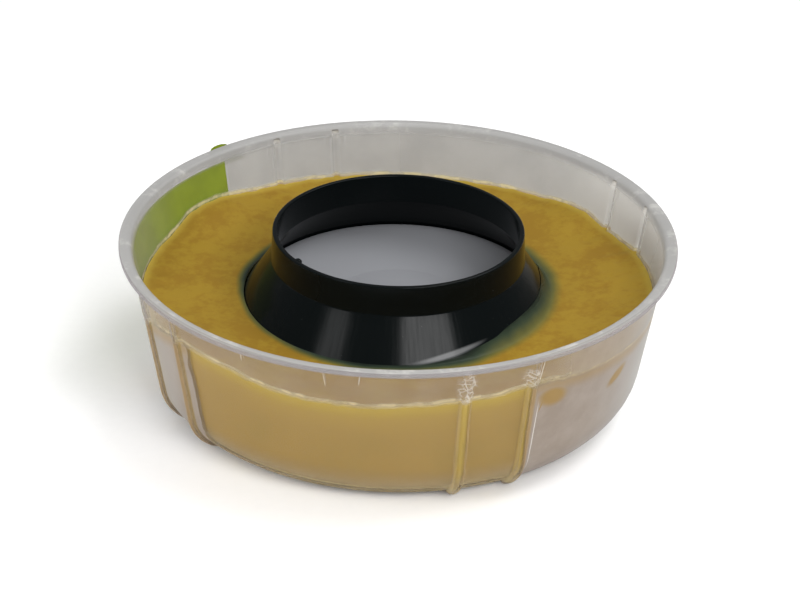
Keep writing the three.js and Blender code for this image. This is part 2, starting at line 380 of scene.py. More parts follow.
def wire(bm, corners, closed=False):
    """Chain of edges through (radius, height, round) corners, with each round bevelled to an arc."""
    verts = [bm.verts.new((radius, 0, z)) for radius, z, _ in corners]
    ends = verts[1:] + verts[:1] if closed else verts[1:]
    for pair in zip(verts, ends):
        bm.edges.new(pair)
    places = [vert.co.copy() for vert in verts]
    for i, (_, _, arc) in enumerate(corners):
        if not arc:
            continue
        before = places[i - 1] - places[i]
        after = places[(i + 1) % len(places)] - places[i]
        half = before.angle(after) / 2
        bmesh.ops.bevel(
            bm,
            geom=[verts[i]],
            offset=arc / math.tan(half),
            offset_type="OFFSET",
            segments=max(LEAST_ARC_STEPS, round((math.pi - 2 * half) / ARC_STEP)),
            profile=0.5,
            affect="VERTICES",
            material=-1,
        )


def cut_edges(bm, longest, edges=None):
    """Cuts some edges, or all of them, until none is longer than a length."""
    for edge in list(bm.edges if edges is None else edges):
        cuts = math.ceil(edge.calc_length() / longest) - 1
        if cuts > 0:
            bmesh.ops.subdivide_edges(bm, edges=[edge], cuts=cuts)


def join(bm, part):
    """Moves a part into a mesh."""
    data = bpy.data.meshes.new("part")
    part.to_mesh(data)
    part.free()
    bm.from_mesh(data)
    bpy.data.meshes.remove(data)


def turn_about(bm, angle):
    """Turns a mesh about the axis."""
    bmesh.ops.rotate(bm, cent=(0, 0, 0), matrix=Matrix.Rotation(angle, 3, "Z"), verts=list(bm.verts))


def spin(bm, sweep, steps, whole=False):
    """Spins all of a mesh about the axis."""
    bmesh.ops.spin(
        bm,
        geom=list(bm.verts) + list(bm.edges),
        cent=(0, 0, 0),
        axis=(0, 0, 1),
        angle=sweep,
        steps=steps,
        use_merge=whole,
    )


def flute_sectors(form, coarse):
    """Sweeps round the axis, with close steps over each flute and wider ones between them."""
    half = FLUTE_REACH * form.tub.flute / form.corner_centre
    at = 0.0
    sectors = []
    for flute in form.flutes:
        sectors.append((flute - half - at, coarse))
        sectors.append((2 * half, FLUTE_TURN))
        at = flute + half
    sectors.append((math.tau - at, coarse))
    return [(sweep, max(1, round(sweep / step))) for sweep, step in sectors]


def spin_sectors(section, sectors):
    """Spins a section about the axis, sector by sector, and joins the sectors to a closed form."""
    bm = bmesh.new()
    start = 0.0
    for sweep, steps in sectors:
        part = section.copy()
        spin(part, sweep, steps)
        turn_about(part, start)
        join(bm, part)
        start += sweep
    section.free()
    close_up(bm)
    return bm


def close_up(bm):
    """Merges what lies together and turns the faces outward."""
    bmesh.ops.remove_doubles(bm, verts=list(bm.verts), dist=WELD)
    bmesh.ops.recalc_face_normals(bm, faces=list(bm.faces))


def new_object(context, bm, name, materials):
    """Makes the object of a finished mesh."""
    data = bpy.data.meshes.new(name)
    bm.to_mesh(data)
    bm.free()
    for material in materials:
        data.materials.append(material)
    made = bpy.data.objects.new(name, data)
    context.scene.collection.objects.link(made)
    return made


def finish_piece(context, bm, name, materials, node, sharp=SHARP):
    """Makes a piece of a finished mesh and sets it in the frame."""
    piece = new_object(context, bm, name, materials)
    piece.data.shade_smooth()
    piece.data.set_sharp_from_angle(angle=sharp)
    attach(piece, "root")
    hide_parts(node)


class Nodes:
    """A node tree, with short ways to add the nodes that patterns are made of."""

    def __init__(self, tree):
        self.tree = tree

    def add(self, kind, **settings):
        """A new node with some settings."""
        node = self.tree.nodes.new(kind)
        for name, value in settings.items():
            setattr(node, name, value)
        return node

    def feed(self, target, value):
        """Links a socket to an input, or sets the input's value."""
        if isinstance(value, bpy.types.NodeSocket):
            self.tree.links.new(value, target)
        elif target.type == "RGBA":
            target.default_value = (*value, 1.0)
        else:
            target.default_value = value

    def feed_all(self, targets, values):
        """Feeds values to inputs in order."""
        for target, value in zip(targets, values):
            self.feed(target, value)

    def maths(self, operation, *values, clamp=False):
        """A Math node's result."""
        node = self.add("ShaderNodeMath", operation=operation, use_clamp=clamp)
        self.feed_all(node.inputs, values)
        return node.outputs[0]

    def times(self, first, *others):
        """Values multiplied together."""
        for other in others:
            first = self.maths("MULTIPLY", first, other)
        return first

    def most(self, first, *others):
        """The largest of some values."""
        for other in others:
            first = self.maths("MAXIMUM", first, other)
        return first

    def rest_of(self, value):
        """What a share leaves of 1."""
        return self.maths("SUBTRACT", 1.0, value)

    def step(self, value, low, high, start=0.0, end=1.0):
        """A smooth step from start to end as a value goes from low to high."""
        node = self.add("ShaderNodeMapRange", interpolation_type="SMOOTHSTEP")
        self.feed_all(node.inputs, (value, low, high, start, end))
        return node.outputs[0]

    def mix(self, factor, first, second):
        """A mix of two colours."""
        node = self.add("ShaderNodeMix", data_type="RGBA")
        self.feed_all((node.inputs[0], node.inputs[6], node.inputs[7]), (factor, first, second))
        return node.outputs[2]

    def blend(self, factor, first, second):
        """A mix of two values."""
        node = self.add("ShaderNodeMix", data_type="FLOAT")
        self.feed_all((node.inputs[0], node.inputs[2], node.inputs[3]), (factor, first, second))
        return node.outputs[0]

    def bump(self, height, distance, strength, normal=None):
        """A Bump node's normal."""
        node = self.add("ShaderNodeBump")
        node.inputs["Strength"].default_value = strength
        node.inputs["Distance"].default_value = distance
        self.feed(node.inputs["Height"], height)
        if normal is not None:
            self.feed(node.inputs["Normal"], normal)
        return node.outputs[0]

    def attribute(self, name):
        """A number kept on the mesh's points."""
        return self.add("ShaderNodeAttribute", attribute_name=name).outputs["Fac"]

    def use(self, group, *values):
        """A node group's outputs, with its inputs fed in order."""
        node = self.add("ShaderNodeGroup", node_tree=group)
        self.feed_all(node.inputs, values)
        return node.outputs


# Inputs of node groups that are vectors, and not plain values
VECTORS = ("Place", "Scale")


def shared_group(name, inputs, outputs, fill):
    """A node group that is built once, by a function of its nodes, its inputs and its outputs."""
    group = bpy.data.node_groups.get(name)
    if group is None:
        group = bpy.data.node_groups.new(name, "ShaderNodeTree")
        for label in inputs:
            kind = "NodeSocketVector" if label in VECTORS else "NodeSocketFloat"
            group.interface.new_socket(label, in_out="INPUT", socket_type=kind)
        for label in outputs:
            group.interface.new_socket(label, in_out="OUTPUT", socket_type="NodeSocketFloat")
        inside = group.nodes.new("NodeGroupInput").outputs
        outside = group.nodes.new("NodeGroupOutput").inputs
        fill(Nodes(group), inside, outside)
    return group


def fill_grain(nodes, inside, outside):
    """Noise at a place, with its own scale along each axis."""
    mapping = nodes.add("ShaderNodeMapping")
    nodes.feed(mapping.inputs["Vector"], inside["Place"])
    nodes.feed(mapping.inputs["Scale"], inside["Scale"])
    cells = nodes.add("ShaderNodeTexNoise")
    cells.inputs["Scale"].default_value = 1.0
    nodes.feed(cells.inputs["Vector"], mapping.outputs[0])
    nodes.feed(cells.inputs["Detail"], inside["Detail"])
    nodes.feed(cells.inputs["Roughness"], inside["Roughness"])
    nodes.feed(outside["Mask"], cells.outputs["Fac"])


def fill_round(nodes, inside, outside):
    """Distance from the axis, and angle from the front."""
    split = nodes.add("ShaderNodeSeparateXYZ")
    nodes.feed(split.inputs[0], inside["Place"])
    x, y, _ = split.outputs
    square = nodes.maths("ADD", nodes.times(x, x), nodes.times(y, y))
    nodes.feed(outside["Radius"], nodes.maths("SQRT", square))
    nodes.feed(outside["Angle"], nodes.maths("ARCTAN2", x, nodes.times(y, -1.0)))


def fill_film_highlight(nodes, inside, outside):
    """Painted highlight along the line where the wax film ends on the horn's cone."""
    surface = Surface(nodes.tree, inside["Place"])
    radius = 40 * MM
    line = surface.marks(surface.unrolled(radius), radius, FILM_HIGHLIGHT, 0.5)
    on_cone = surface.step(surface.radius, 44 * MM, 46 * MM, 1.0, 0.0)
    nodes.feed(outside["Mask"], surface.times(line, on_cone))


class Surface(Nodes):
    """A node tree with the places on the part that patterns read."""

    def __init__(self, tree, place):
        super().__init__(tree)
        self.place = place
        split = self.add("ShaderNodeSeparateXYZ")
        self.feed(split.inputs[0], place)
        self.x, self.y, self.z = split.outputs
        group = shared_group("Round", ("Place",), ("Radius", "Angle"), fill_round)
        self.radius, self.angle = self.use(group, place)

    def grain(self, size, detail=2.0, roughness=0.5, stretch=(1.0, 1.0, 1.0), place=None):
        """Noise with features of about a size in metres."""
        group = shared_group("Grain", ("Place", "Scale", "Detail", "Roughness"), ("Mask",), fill_grain)
        scale = [share / size for share in stretch]
        return self.use(group, self.place if place is None else place, scale, detail, roughness)[0]

    def unrolled(self, radius, squeeze=1.0):
        """Place on the surface unrolled to a plane: distance round the axis at a radius, and height."""
        node = self.add("ShaderNodeCombineXYZ")
        self.feed_all(node.inputs, (self.times(self.angle, radius), self.times(self.z, squeeze)))
        return node.outputs[0]

    def marks(self, flat, radius, table, soft=0.25):
        """1 inside any of the oval marks of a table and 0 outside them, on an unrolled surface."""
        found = 0.0
        for degrees, height, half_wide, half_high, lean in table:
            node = self.add("ShaderNodeMapping", vector_type="TEXTURE")
            node.inputs["Location"].default_value = (math.radians(degrees) * radius, height * MM, 0)
            node.inputs["Rotation"].default_value = (0, 0, math.radians(lean))
            node.inputs["Scale"].default_value = (half_wide * MM, half_high * MM, 1)
            self.feed(node.inputs["Vector"], flat)
            size = self.add("ShaderNodeVectorMath", operation="LENGTH")
            self.feed(size.inputs[0], node.outputs[0])
            found = self.most(found, self.step(size.outputs["Value"], 1 - soft, 1 + soft, 1.0, 0.0))
        return found

    def film_highlight(self):
        """1 along the painted highlight at the edge of the wax film on the cone."""
        group = shared_group("Film highlight", ("Place",), ("Mask",), fill_film_highlight)
        return self.use(group, self.place)[0]


class Curve:
    """A smooth line through (degrees from the front, value) points, for meshes and materials alike."""

    def __init__(self, name, points, unit=1.0):
        self.points = [(degrees / 360 + 0.5, value * unit) for degrees, value in points]
        values = [value for _, value in self.points]
        self.low, self.high = min(values), max(values)
        self.group = shared_group(name, ("Angle",), ("Value",), self.fill)
        line = next(node for node in self.group.nodes if node.bl_idname == "ShaderNodeFloatCurve")
        self.mapping = line.mapping
        self.mapping.initialize()

    def fill(self, nodes, inside, outside):
        """The line as a Float Curve node, with its angle and its value brought to between 0 and 1."""
        node = nodes.add("ShaderNodeFloatCurve")
        line = node.mapping.curves[0]
        places = [(share, (value - self.low) / (self.high - self.low)) for share, value in self.points]
        line.points[0].location = places[0]
        line.points[-1].location = places[-1]
        for place in places[1:-1]:
            line.points.new(*place)
        for point in line.points:
            point.handle_type = "AUTO_CLAMPED"
        node.mapping.update()
        nodes.feed(node.inputs["Value"], nodes.maths("MULTIPLY_ADD", inside[0], 1 / math.tau, 0.5))
        scaled = nodes.maths("MULTIPLY_ADD", node.outputs[0], self.high - self.low, self.low)
        nodes.feed(outside[0], scaled)

    def at(self, angle):
        """Value at an angle from the front, in radians."""
        share = self.mapping.evaluate(self.mapping.curves[0], angle / math.tau + 0.5)
        return self.low + share * (self.high - self.low)


def shared_curves():
    """The lines that the meshes and the materials share."""
    return {
        "edge": Curve("Wax edge", WAX_EDGE, MM),
        "touch": Curve("Wax touch", WAX_TOUCH),
        "creep": Curve("Wax creep", WAX_CREEP, MM),
        "halo": Curve("Halo", HALO, MM),
        "rim": Curve("Rim painted shade", RIM_PAINTED_SHADE),
    }


class Paint(Surface):
    """A new material with its shader."""

    def __init__(self, name):
        self.material = bpy.data.materials.new(name)
        self.material.use_nodes = True
        tree = self.material.node_tree
        super().__init__(tree, tree.nodes.new("ShaderNodeTexCoord").outputs["Object"])
        self.shader = tree.nodes["Principled BSDF"]

    def set(self, socket, value):
        """Sets or links one of the shader's inputs."""
        self.feed(self.shader.inputs[socket], value)


class TubPaint(Paint):
    """Milky plastic of the tub's outer or inner face, what the wax has done to it, and the light and shade
    painted on it.

    Each mask is 1 where the thing that it is named for is, and 0 elsewhere.
    """

    def __init__(self, form, colours, inside):
        super().__init__("tub_inside" if inside else "tub_outside")
        self.form, self.colours, self.inside = form, colours, inside
        self.curves = shared_curves()
        self.front = self.step(self.y, -50 * MM, -10 * MM, 1.0, 0.0)
        self.cloud = self.step(self.grain(9 * MM, 4.0, 0.6), 0.3, 0.7)
        self.back_face = self.add("ShaderNodeNewGeometry").outputs["Backfacing"]
        self.find_flutes()
        self.find_wax()
        self.find_marks()
        self.find_label()
        self.find_rim()

    def find_flutes(self):
        """The flutes and the wall just beside them."""
        nearest = math.tau
        for flute in self.form.flutes:
            middle = (flute + math.pi / 2 + math.pi) % math.tau - math.pi
            offset = self.maths("ABSOLUTE", self.maths("SUBTRACT", self.angle, middle))
            nearest = self.maths("MINIMUM", nearest, offset)
        across = self.times(nearest, self.radius)
        self.flute = self.step(across, 0.8 * MM, 1.2 * MM, 1.0, 0.0)
        beside = self.step(across, 0.9 * MM, 1.2 * MM)
        self.flank = self.times(beside, self.step(across, 1.4 * MM, 1.9 * MM, 1.0, 0.0))

    def find_wax(self):
        """The wall under the wax's edge, split into where the wax clings to it and where it is away."""
        wobble = self.maths("MULTIPLY_ADD", self.grain(4 * MM, 3.0), 1.2 * MM, -0.6 * MM)
        line = self.maths("ADD", self.use(self.curves["edge"].group, self.angle)[0], wobble)
        self.below = self.maths("SUBTRACT", line, self.z)
        touch = self.use(self.curves["touch"].group, self.angle)[0]
        blur = self.step(touch, 0.0, 0.5, 1.3 * MM, 0.25 * MM)
        self.under = self.step(self.below, self.times(blur, -1.0), blur)
        patches = self.maths("MULTIPLY_ADD", self.grain(22 * MM, 3.0, 0.55), 1.6, -0.8)
        clinging = self.step(self.maths("ADD", touch, patches), 0.42, 0.58)
        clinging = self.most(clinging, self.step(touch, 0.90, 0.99))
        loose = self.step(touch, 0.0, 0.08, 1.0, 0.0)
        post = self.form.post_side(0)
        on_wall = self.step(self.radius, post + 3 * MM, post + 6 * MM)
        self.contact = self.times(self.under, clinging, self.rest_of(loose), on_wall)
        self.away = self.times(self.under, self.rest_of(self.contact))
        # Painted light: low marks the wall towards its foot, painted lighter and less clear where the wax
        # clings, as if lit from below by the floor.
        self.low = self.step(self.z, 1.5 * MM, 14 * MM, 0.5, 0.0)

    def find_marks(self):
        """Wax stains, the pale line along the wax's edge, white cracks and scratches, and a painted
        highlight along a flute's flank.
        """
        flat_radius = self.form.wall_outer(self.form.wax_rim)
        flat = self.unrolled(flat_radius)
        glow = self.step(self.below, 0.8 * MM, 4.6 * MM, 0.55, 0.0)
        spots = self.marks(flat, flat_radius, SPOTS, 0.4)
        self.stained = self.times(self.most(glow, self.times(self.flute, 0.8), spots), self.away)

        middle, reach, least, most = (0.5, 1.1, 0.5, 0.8) if self.inside else (0.3, 0.65, 0.12, 0.34)
        off_line = self.maths("ABSOLUTE", self.maths("ADD", self.below, middle * MM))
        pale = self.step(off_line, 0.1 * MM, reach * MM, 1.0, 0.0)
        broken = self.step(self.grain(5 * MM, 3.0), 0.42, 0.6)
        self.pale = self.times(pale, self.step(broken, 0.0, 1.0, least, most))

        cracks = self.times(self.net_of_cracks(flat), self.marks(flat, flat_radius, CRACKLES, 0.3))
        self.white = self.most(cracks, self.times(self.marks(flat, flat_radius, SCRATCHES_AND_HIGHLIGHT), 0.75))

    def net_of_cracks(self, flat):
        """Thin broken lines between the cells of a net."""
        net = self.add("ShaderNodeTexVoronoi", feature="DISTANCE_TO_EDGE")
        net.inputs["Scale"].default_value = 1 / (1.5 * MM)
        self.feed(net.inputs["Vector"], flat)
        lines = self.step(net.outputs["Distance"], 0.03, 0.12, 0.62, 0.12)
        return self.times(lines, self.step(self.grain(1.6 * MM, place=flat), 0.3, 0.5))

    def find_label(self):
        """The wall that the label backs."""
        label = self.form.label
        soft = 0.15 * MM
        turn_soft = soft / self.form.wall_top
        start, stop = (angle - 1.5 * math.pi for angle in (label.start, label.stop))
        self.stuck = self.times(
            self.step(self.angle, start - turn_soft, start + turn_soft),
            self.step(self.angle, stop - turn_soft, stop + turn_soft, 1.0, 0.0),
            self.step(self.z, label.top - soft, label.top + soft, 1.0, 0.0),
            self.step(self.z, label.bottom - soft, label.bottom + soft),
        )

    def find_rim(self):
        """The flange, its lip, its bent edge, the tops of the grooves under it, and the post."""
        form, tub = self.form, self.form.tub
        rim_from = form.band_foot - 1.2 * MM if self.inside else form.band_foot + 0.3 * MM
        self.rim = self.step(self.z, rim_from, form.band_foot + 1.1 * MM)
        twice = self.maths("SINE", self.times(self.angle, 2.0))
        droop = self.times(twice, twice, self.front, 1.0 * MM)
        outer = self.maths("ADD", self.maths("SUBTRACT", self.radius, tub.rim_radius), droop)
        self.drooped = self.step(outer, -0.4 * MM, -0.1 * MM)
        self.lip = self.step(self.radius, tub.rim_radius - 0.4 * MM, tub.rim_radius - 0.1 * MM)
        self.skirt = self.step(self.z, tub.height - 1.0 * MM, tub.height - 0.5 * MM, 1.0, 0.0)
        # Painted light: groove_top marks the tops of the grooves under the flange, which face down and are
        # painted light.
        top_low, top_high = form.band_foot - 2.4 * MM, form.band_foot + 0.9 * MM
        self.groove_top = self.times(
            self.flute,
            self.step(self.z, top_low, top_low + 1.2 * MM),
            self.step(self.z, top_high - 0.5 * MM, top_high, 0.8, 0.0),
        )
        self.post = self.step(self.radius, form.post_side(0), form.post_side(0) + 1.5 * MM, 1.0, 0.0)

    def tone(self):
        """Colour of the plastic and of what lies on it, with painted light and shade, layer over layer."""
        colours = self.colours
        # Painted light: the front is tinted by painted amber light bounced from the wax.
        tone = self.mix(self.front, colours.plastic, colours.plastic_in_wax_light)
        if not self.inside:
            right = self.step(self.x, 38 * MM, 68 * MM)
            tone = self.mix(self.times(self.back_face, right), tone, colours.lit_plastic)
        # Painted shade: a dark line at the foot of the wall, where the wax clings, for the contact shadow
        # there.
        foot = self.step(self.z, 1.7 * MM, 2.7 * MM, 0.75, 0.0)
        # Painted shade: the flange is darker on some sides than others, following the rim curve.
        rim_painted_shade = self.mix(self.use(self.curves["rim"].group, self.angle)[0], (0.0, 0.0, 0.0), colours.rim)
        streaks = self.step(self.grain(6 * MM, 4.0, 0.65), 0.5, 0.75, 0.0, 0.4)
        layers = (
            (self.times(self.cloud, 0.12), colours.mark),
            (self.most(self.contact, self.times(self.flank, self.under, 0.7)), colours.soaked),
            # Painted light: the wall towards its foot is painted lighter where the wax clings.
            (self.times(self.low, self.contact), colours.film),
            (self.times(foot, self.contact), colours.foot),
            (self.stained, colours.stain),
            (self.pale, colours.film),
            (self.white, colours.mark),
            (self.rim, self.mix(streaks, rim_painted_shade, colours.mark)),
            # Painted light: the tops of the grooves on the inner face are painted light.
            (self.groove_top if self.inside else 0.0, colours.mark),
            # Painted shade: the lip is painted darker, for the shade under the flange.
            (self.most(self.drooped, self.lip), self.mix(self.lip, colours.plastic, colours.lip)),
            # Painted shade: the post's top is painted darker, for the shadowed hollow under it.
            (self.post, colours.post),
        )
        for mask, layer in layers:
            tone = self.mix(mask, tone, layer)
        return tone

    def veil(self):
        """How much the plastic hides of what is behind it, seen square on."""
        clear, wet, dry, beside = (0.16, 0.04, 0.35, 0.15) if self.inside else (0.34, 0.06, 0.74, 0.35)
        milky = self.step(self.angle, math.radians(28), math.radians(46), 0.0, 0.7)
        veil = self.blend(self.contact, self.blend(milky, clear, dry), wet)
        veil = self.blend(self.away, veil, dry)
        veil = self.blend(self.times(self.under, self.flank), veil, beside)
        # The painted light towards the foot also makes the plastic less clear there.
        veil = self.blend(self.times(self.contact, self.low), veil, 0.9)
        veil = self.blend(self.times(self.white, 0.5), veil, 0.8)
        if self.inside:
            lit_label = self.step(self.angle, math.radians(-122), math.radians(-92), 0.04, 0.26)
            veil = self.blend(self.stuck, veil, lit_label)
        else:
            seen = self.add("ShaderNodeLightPath").outputs["Is Camera Ray"]
            veil = self.blend(self.times(self.back_face, seen), veil, self.blend(self.stuck, 0.93, 0.05))
        veil = self.most(veil, self.pale)
        thin = self.most(self.times(self.lip, self.skirt), self.times(self.drooped, self.front))
        return self.blend(self.most(self.rim, self.post), veil, self.blend(thin, 0.9, 0.5))

    def cover(self):
        """The veil, thicker where the plastic is seen edge on, and thinner for the light through it."""
        veil = self.veil()
        facing = self.add("ShaderNodeLayerWeight").outputs["Facing"]
        backed = self.blend(self.most(self.contact, self.stuck), 0.45, 0.12)
        graze = self.times(self.maths("POWER", facing, 3.0), backed)
        cover = self.maths("MULTIPLY_ADD", graze, self.rest_of(veil), veil, clamp=True)
        shadow = self.add("ShaderNodeLightPath").outputs["Is Shadow Ray"]
        return self.times(cover, self.blend(shadow, 1.0, 0.4))


def tub_plastic(form, colours, inside):
    """Milky plastic, clearer where the wax or the label clings to it."""
    paint = TubPaint(form, colours, inside)
    paint.set("Base Color", paint.tone())
    paint.set("Roughness", paint.step(paint.cloud, 0.0, 1.0, 0.36, 0.46))
    paint.set("IOR", 1.49)
    paint.set("Specular IOR Level", 0.2)
    paint.set("Alpha", paint.cover())
    paint.set("Normal", paint.bump(paint.grain(6 * MM, 2.0, 0.5, (1.0, 1.0, 0.35)), 0.12 * MM, 0.4))
    return paint.material


def wax_finish(colours):
    """Amber petroleum wax, mottled, painted lighter at the wall for light through the milky wall, dark green
    where it is thin over the horn, and with a painted highlight at the edge of its film on the cone.
    """
    paint = Paint("amber_wax")
    broad = paint.grain(14 * MM, 3.0, 0.55)
    small = paint.grain(2.4 * MM, 3.0, 0.7)
    mottled = paint.maths("ADD", paint.times(broad, 0.6), paint.times(small, 0.4))
    tone = paint.mix(paint.step(mottled, 0.42, 0.58), colours.wax_deep, colours.wax)
    over_black = paint.maths("ADD", paint.attribute("cover"), paint.maths("MULTIPLY_ADD", broad, 0.4, -0.2))
    layers = (
        (paint.attribute("side"), colours.wax_side),
        # Painted light: wax near the wall and in the flutes is painted lighter.
        (paint.attribute("edge"), colours.wax_lit_at_wall),
        (paint.step(over_black, 0.55, 1.05, 1.0, 0.0), colours.wax_olive),
        (paint.step(over_black, 0.25, 0.75, 1.0, 0.0), colours.wax_green),
        (paint.step(over_black, -0.05, 0.42, 1.0, 0.0), colours.horn),
        # Painted highlight along the edge of the wax film on the cone.
        (paint.film_highlight(), colours.dust),
    )
    for mask, layer in layers:
        tone = paint.mix(mask, tone, layer)
    paint.set("Base Color", tone)
    paint.set("Roughness", paint.step(over_black, 0.1, 0.6, 0.25, 0.5))
    paint.set("IOR", 1.44)
    paint.set("Specular IOR Level", 0.08)
    paint.set("Normal", paint.bump(small, 0.05 * MM, 0.5, paint.bump(broad, 0.25 * MM, 0.4)))
    return paint.material


def horn_finish(colours):
    """Black polyethylene, softly glossy, with fine marks drawn down it by the mould."""
    paint = Paint("black_horn")
    drawn = paint.grain(0.7 * MM, 2.0, 0.6, place=paint.unrolled(40 * MM, 0.06))
    dust = paint.step(paint.grain(0.5 * MM, 1.0), 0.80, 0.84)
    # Real dust specks, and the painted highlight at the edge of the wax film, both in the dust colour.
    light = paint.most(paint.times(dust, 0.4), paint.film_highlight())
    paint.set("Base Color", paint.mix(light, colours.horn, colours.dust))
    paint.set("Roughness", paint.step(drawn, 0.3, 0.7, 0.13, 0.22))
    paint.set("IOR", 1.51)
    paint.set("Specular IOR Level", 0.07)
    paint.set("Normal", paint.bump(drawn, 0.01 * MM, 0.3))
    return paint.material


def label_finish(colours):
    """Bare green film."""
    paint = Paint("green_label")
    faint = paint.step(paint.grain(7 * MM, 3.0), 0.35, 0.65)
    paint.set("Base Color", paint.mix(faint, colours.label, [0.88 * share for share in colours.label]))
    paint.set("Roughness", 0.45)
    paint.set("Normal", paint.bump(paint.grain(1.5 * MM), 0.03 * MM, 0.4))
    return paint.material


def floor_finish(colours):
    """Pale paper."""
    paint = Paint("paper_floor")
    fibre = paint.step(paint.grain(3 * MM, 3.0), 0.3, 0.7)
    paint.set("Base Color", paint.mix(fibre, colours.floor, [0.99 * share for share in colours.floor]))
    paint.set("Roughness", 0.9)
    return paint.material


class SEAL_OT_tub(bpy.types.Operator):
    """Make the thin tub with its flange, flutes and hollow post"""

    bl_idname = "seal.tub"
    bl_label = "Tub"

    def execute(self, context):
        form = Form(context.scene)
        section = bmesh.new()
        wire(section, self.corners(form))
        cut_edges(section, 4 * MM)
        cut_edges(section, 0.7 * MM, [edge for edge in section.edges if self.on_flutes_end(form, edge)])
        bm = spin_sectors(section, flute_sectors(form, TUB_TURN))
        self.press(bm, form)
        for face in bm.faces:
            face.material_index = int(self.faces_in(form, face.calc_center_median(), face.normal))
        colours = context.scene.seal_finishes
        materials = [tub_plastic(form, colours, inside) for inside in (False, True)]
        finish_piece(context, bm, "tub_shell", materials, "tub")
        return {"FINISHED"}

    def corners(self, form):
        """Section of the tub, from the axis under the post, round the rim and back to the axis."""
        tub = form.tub
        wall, soft = tub.wall, 0.5 * MM
        post_cos = math.cos(tub.post_draft)
        under = [
            (0, form.dish - wall, 0),
            (tub.dish_radius, form.dish - wall, soft),
            (form.post_top - tub.land, tub.platform - wall, soft),
            (form.post_top - wall, tub.platform - wall, 0.3 * MM),
            (form.shoulder_radius - wall / post_cos, form.flange_bottom, soft),
            (form.post_side(0) - wall / post_cos, 0, wall),
            (form.wall_outer(0), 0, tub.corner),
            (form.wall_top, form.band_foot - wall, 0.4 * MM),
            (form.band_radius + wall, form.band_foot - tub.band_slope, 0.4 * MM),
            (form.band_radius + wall, tub.height - wall, 0.3 * MM),
            (tub.rim_radius - wall, tub.height - wall, 0.3 * MM),
            (tub.rim_radius - wall, tub.height - tub.rim_drop, 0.1 * MM),
            (tub.rim_radius, tub.height - tub.rim_drop, 0.15 * MM),
            (tub.rim_radius, tub.height, tub.rim_round),
        ]
        over = [
            (form.band_radius, tub.height, tub.rim_inner),
            (form.wall_inner(form.band_foot), form.band_foot, 4 * MM),
            (form.wall_inner(wall), wall, tub.corner - wall),
            (form.post_side(wall), wall, tub.post_foot),
            (form.shoulder_radius, form.flange_bottom, soft),
            (form.post_top, tub.platform, soft),
            (form.post_top - tub.land, tub.platform, soft),
            (tub.dish_radius, form.dish, 1.5 * MM),
            (0, form.dish, 0),
        ]
        return under + over

    def on_flutes_end(self, form, edge):
        """Whether an edge of the section lies where the flutes end, at the corner or under the flange."""
        middle = (edge.verts[0].co + edge.verts[1].co) / 2
        if middle.x < form.corner_centre:
            return False
        low = middle.z < form.tub.corner
        return low or form.band_foot - 2.5 * MM < middle.z < form.tub.height - form.tub.wall

    def press(self, bm, form):
        """Presses the flutes out of the wall, and their grooves out of its inner face."""
        tub = form.tub
        depth_of_middle = tub.flute - tub.flute_proud
        groove_half = tub.flute - 0.6 * MM
        top = tub.height - tub.wall
        rooted = []
        for vert in bm.verts:
            radius = math.hypot(vert.co.x, vert.co.y)
            if radius < form.corner_centre or vert.co.z > top + WELD:
                continue
            angle = math.atan2(vert.co.y, vert.co.x)
            across = form.across_flute(radius, angle)
            if abs(across) > 2 * tub.flute:
                continue
            depth, past, normal = form.wall_place(radius, vert.co.z)
            outer = depth < tub.wall / 2
            if vert.co.z > form.band_foot - tub.band_slope:
                outer = radius > form.band_radius + tub.wall / 2
            if outer:
                past = max(past, 0.0)
                square = tub.flute**2 - across**2 - past**2
                target = depth_of_middle - math.sqrt(max(square, 0.0))
                if past < 1.3 * tub.flute:
                    rooted.append(vert)
            elif depth < 1.5 * tub.wall:
                past = max(past, vert.co.z - top + tub.wall, 0.0)
                share = 1 - (across**2 + past**2) / groove_half**2
                target = tub.wall - tub.flute_proud * math.sqrt(max(share, 0.0))
            else:
                continue
            if target < depth:
                turned = Matrix.Rotation(angle, 3, "Z") @ normal
                vert.co += turned * (depth - target)
        bmesh.ops.smooth_vert(
            bm, verts=rooted, factor=0.4, use_axis_x=True, use_axis_y=True, use_axis_z=False
        )
        bm.normal_update()

    def faces_in(self, form, centre, normal):
        """Whether a face looks into the tub."""
        radius = math.hypot(centre.x, centre.y)
        if radius < form.post_side(0) or centre.z > form.tub.height - form.tub.wall:
            return normal.z > 0
        return normal.x * centre.x + normal.y * centre.y < 0 or normal.z > 0.3


